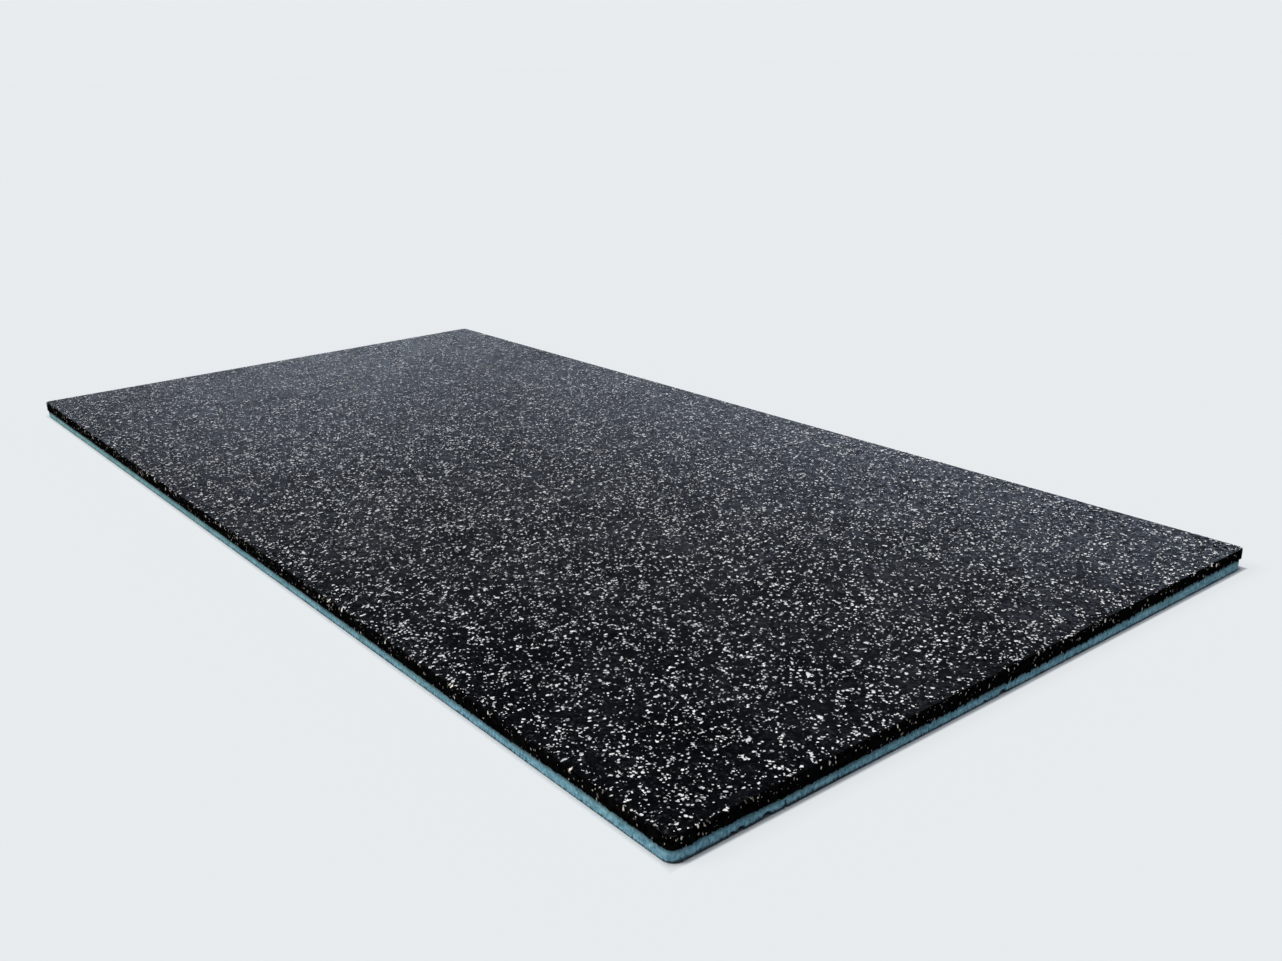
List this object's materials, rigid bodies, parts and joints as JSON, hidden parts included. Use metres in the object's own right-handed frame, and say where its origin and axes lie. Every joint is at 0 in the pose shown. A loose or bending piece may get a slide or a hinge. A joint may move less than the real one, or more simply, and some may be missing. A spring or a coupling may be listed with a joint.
{
  "type": "stable wall protection tile",
  "caption": "Flat rectangular impact tile for stable walls: a black rubber-granule plate with light flecks, bonded to a thinner blue foam backing.",
  "frame": {"origin": "centre of the foam backing's underside, which is the wall side and the face the tile lies on", "axes": "+X along the long side, +Y along the short side, +Z through the thickness towards the flecked face"},
  "size_m": [1, 0.5, 0.015],
  "materials": {
    "bonded_rubber": "matte bonded black rubber granules with scattered light grey granules",
    "blue_foam": "matte teal-blue foam with fine cut marks on its edges"
  },
  "bodies": {
    "root": {"rubber_wear_layer": "bonded_rubber", "foam_backing": "blue_foam"}
  },
  "joints": []
}
